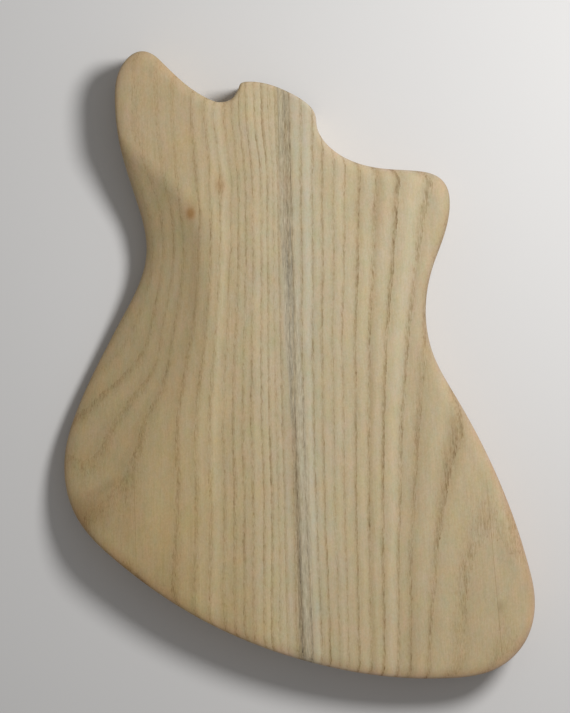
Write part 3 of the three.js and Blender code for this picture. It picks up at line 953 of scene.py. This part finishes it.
def make_board(context, name, side, radius_of, rings, marks_of):
    """One finished board: its surface, its routes, its material, and its place in the frame."""
    sizes = context.scene.body_sizes
    stations = outline_stations(sizes)[side]
    place = outline(stations, sizes.surface_spacing)[0]
    mesh = closed_mesh(name, board_surface(stations, sizes))
    board = bpy.data.objects.new(name, mesh)
    context.scene.collection.objects.link(board)
    cut_routes(board, sizes)
    mark_routes(board.data, place)
    mark_wood(board.data, place, sizes)
    board.data.shade_smooth()
    board.data.set_sharp_from_angle(angle=math.radians(32))
    board.data.materials.clear()
    board.data.materials.append(board_wood(name, radius_of, rings, marks_of, context.scene.wood_colours))
    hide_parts(name.replace("_ash", "_board"))
    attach(board, "root")


class GUITARBODY_OT_left_board(bpy.types.Operator):
    """Makes the left board: the long horn, the belly cut and half of the routes"""

    bl_idname = "guitar_body.left_board"
    bl_label = "Left board"

    def execute(self, context):
        make_board(context, "left_ash", 1, left_radius, LEFT_RINGS, left_marks)
        return {"FINISHED"}


class GUITARBODY_OT_right_board(bpy.types.Operator):
    """Makes the right board: the short horn, the control side and the other half of the routes"""

    bl_idname = "guitar_body.right_board"
    bl_label = "Right board"

    def execute(self, context):
        make_board(context, "right_ash", 0, right_radius, RIGHT_RINGS, right_marks)
        return {"FINISHED"}


class GUITARBODY_OT_stage(bpy.types.Operator):
    """Makes the plain floor, the soft key lamp, the pale surroundings and the camera over the back"""

    bl_idname = "guitar_body.stage"
    bl_label = "Stage"

    def execute(self, context):
        settings = context.scene.stage_settings
        grid = np.array([[-1, -1, 0], [1, -1, 0], [1, 1, 0], [-1, 1, 0]]) * FLOOR_REACH
        mesh = bpy.data.meshes.new("floor")
        mesh.from_pydata(grid, [], [(0, 1, 2, 3)])
        floor = bpy.data.objects.new("floor", mesh)
        context.scene.collection.objects.link(floor)
        paint = bpy.data.materials.new("pale_floor")
        nodes = WoodNodes(paint)
        surface = nodes.add(
            "BsdfPrincipled",
            {"Base Color": (*settings.floor, 1.0), "Roughness": 0.9, "Specular IOR Level": 0.1},
        )
        nodes.add("OutputMaterial", {"Surface": surface})
        mesh.materials.append(paint)
        floor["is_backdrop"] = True

        lamp = bpy.data.lights.new("key_lamp", "AREA")
        lamp.shape, lamp.size = "DISK", settings.key_size
        lamp.energy = settings.key_power
        holder = bpy.data.objects.new("key_lamp", lamp)
        holder.location = KEY_PLACE
        aim = -holder.location
        holder.rotation_euler = aim.to_track_quat("-Z", "Y").to_euler()
        context.scene.collection.objects.link(holder)

        world = bpy.data.worlds.new("pale_surroundings")
        world.use_nodes = True
        sky = world.node_tree.nodes["Background"]
        sky.inputs["Color"].default_value = (1, 1, 1, 1)
        sky.inputs["Strength"].default_value = settings.sky_strength
        context.scene.world = world

        camera = bpy.data.cameras.new("camera")
        camera.sensor_width = SENSOR_WIDTH
        camera.lens = SENSOR_WIDTH * settings.camera_height / VIEW_WIDTH
        camera.clip_end = 50
        view = bpy.data.objects.new("camera", camera)
        view.location = (*VIEW_MIDDLE, VIEW_HEIGHT + settings.camera_height)
        view.rotation_euler = (0, 0, VIEW_TURN)
        context.scene.collection.objects.link(view)
        context.scene.camera = view
        context.scene.view_settings.view_transform = "Standard"
        return {"FINISHED"}


class GUITARBODY_PT_panel(bpy.types.Panel):
    """Lists the operators and their sizes and colours"""

    bl_label = "Guitar body"
    bl_space_type = "VIEW_3D"
    bl_region_type = "UI"
    bl_category = "Guitar body"

    def draw(self, context):
        layout = self.layout
        for operator in ("left_board", "right_board", "stage"):
            layout.operator(f"guitar_body.{operator}")
        for group in ("body_sizes", "wood_colours", "stage_settings"):
            box = layout.box()
            settings = getattr(context.scene, group)
            for name in settings.__annotations__:
                box.prop(settings, name)


CLASSES = (
    BodySizes,
    WoodColours,
    StageSettings,
    GUITARBODY_OT_left_board,
    GUITARBODY_OT_right_board,
    GUITARBODY_OT_stage,
    GUITARBODY_PT_panel,
)


def register():
    """Registers the classes and hangs the settings on the scene."""
    for cls in CLASSES:
        bpy.utils.register_class(cls)
    bpy.types.Scene.body_sizes = bpy.props.PointerProperty(type=BodySizes)
    bpy.types.Scene.wood_colours = bpy.props.PointerProperty(type=WoodColours)
    bpy.types.Scene.stage_settings = bpy.props.PointerProperty(type=StageSettings)


def unregister():
    """Takes the settings and the classes away again."""
    del bpy.types.Scene.stage_settings
    del bpy.types.Scene.wood_colours
    del bpy.types.Scene.body_sizes
    for cls in reversed(CLASSES):
        bpy.utils.unregister_class(cls)


def main():
    """Makes every piece and the stage in order."""
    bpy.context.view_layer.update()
    register()
    bpy.ops.guitar_body.left_board()
    bpy.ops.guitar_body.right_board()
    bpy.ops.guitar_body.stage()


if __name__ == "__main__":
    main()
